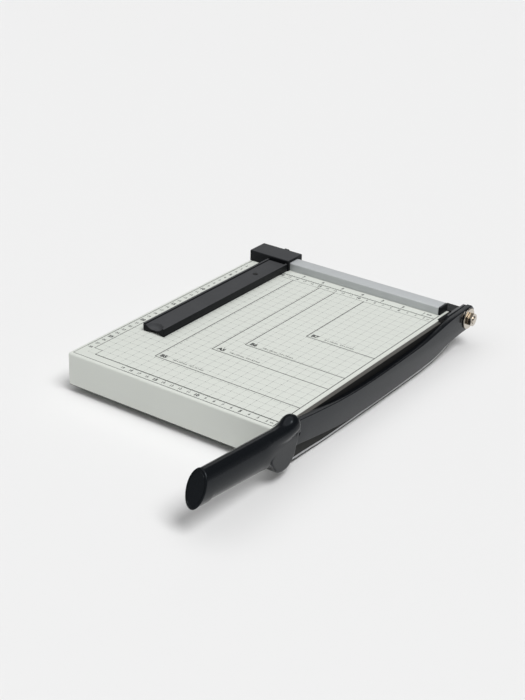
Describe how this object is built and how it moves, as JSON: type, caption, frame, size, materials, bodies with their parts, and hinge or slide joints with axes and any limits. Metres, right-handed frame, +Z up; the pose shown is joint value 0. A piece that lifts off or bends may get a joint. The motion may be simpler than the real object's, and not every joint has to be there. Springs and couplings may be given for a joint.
{
  "type": "paper cutter",
  "caption": "Desk paper cutter with a ruled sheet-steel board, a fence with a sliding side guide, a fixed bed knife and a hinged blade arm with a long handle.",
  "frame": {"origin": "bottom centre of the bounding box, on the table", "axes": "+X from the board to the arm, along the fence; +Y from the handle to the fence and pivot, along the cut; +Z up"},
  "size_m": [0.2694, 0.482, 0.0617],
  "materials": {
    "board_paint": "satin grey-white paint with fine printed rulers and grid",
    "black_steel": "satin black paint",
    "black_plastic": "moulded black, finely textured",
    "grip_plastic": "moulded black, semi-gloss",
    "foot_rubber": "matt black rubber",
    "ground_steel": "ground along the length",
    "nickel": "bright nickel plate",
    "zinc_steel": "zinc plated",
    "fence_aluminium": "satin anodised",
    "bush_bronze": "plain bearing bronze",
    "magnet_rubber": "flexible magnet strip"
  },
  "bodies": {
    "root": {"base_tray": "board_paint", "pivot_bracket": "black_steel", "fence_cap_left": "black_plastic", "fence_cap_right": "black_plastic", "rubber_foot_1": "foot_rubber", "rubber_foot_2": "foot_rubber", "rubber_foot_3": "foot_rubber", "rubber_foot_4": "foot_rubber", "bed_knife": "ground_steel", "pivot_bolt": "nickel", "flat_washer": "nickel", "pivot_nut": "nickel", "board_channel_1": "zinc_steel", "board_channel_2": "zinc_steel", "corner_plate_1": "zinc_steel", "corner_plate_2": "zinc_steel", "corner_plate_3": "zinc_steel", "corner_plate_4": "zinc_steel", "foot_screw_1": "zinc_steel", "foot_screw_2": "zinc_steel", "foot_screw_3": "zinc_steel", "foot_screw_4": "zinc_steel", "bed_knife_screw_1": "zinc_steel", "bed_knife_screw_2": "zinc_steel", "bed_knife_screw_3": "zinc_steel", "fence_screw_1": "zinc_steel", "fence_screw_2": "zinc_steel", "fence_screw_3": "zinc_steel", "bracket_screw_1": "zinc_steel", "bracket_screw_2": "zinc_steel", "bracket_screw_3": "zinc_steel", "wave_washer": "zinc_steel", "fence_rail": "fence_aluminium"},
    "arm": {"arm_bar": "black_steel", "pivot_bush": "bush_bronze", "arm_blade": "ground_steel", "blade_screw_1": "zinc_steel", "blade_screw_2": "zinc_steel", "blade_screw_3": "zinc_steel", "blade_screw_4": "zinc_steel", "handle_grip": "grip_plastic", "handle_end_cap": "grip_plastic", "handle_screw_1": "zinc_steel", "handle_screw_2": "zinc_steel"},
    "guide": {"guide_block": "black_plastic", "guide_arm": "black_plastic", "guide_magnet": "magnet_rubber", "magnet_screw": "zinc_steel", "guide_screw_1": "zinc_steel", "guide_screw_2": "zinc_steel", "clamp_shoe": "zinc_steel"},
    "lock": {"lock_knob": "black_plastic", "lock_screw": "zinc_steel"}
  },
  "joints": [
    {"name": "arm", "type": "hinge", "parent": "root", "child": "arm", "pos_m": [0.1228, 0.22862, 0.0328], "axis": [-1, 0, 0], "range_deg": [0, 80]},
    {"name": "guide", "type": "slide", "parent": "root", "child": "guide", "axis": [1, 0, 0], "range_m": [0, 0.178]},
    {"name": "lock", "type": "hinge", "parent": "guide", "child": "lock", "pos_m": [-0.1072, 0.22352, 0.0452], "axis": [0, 1, 0], "range_deg": [0, 270]}
  ]
}
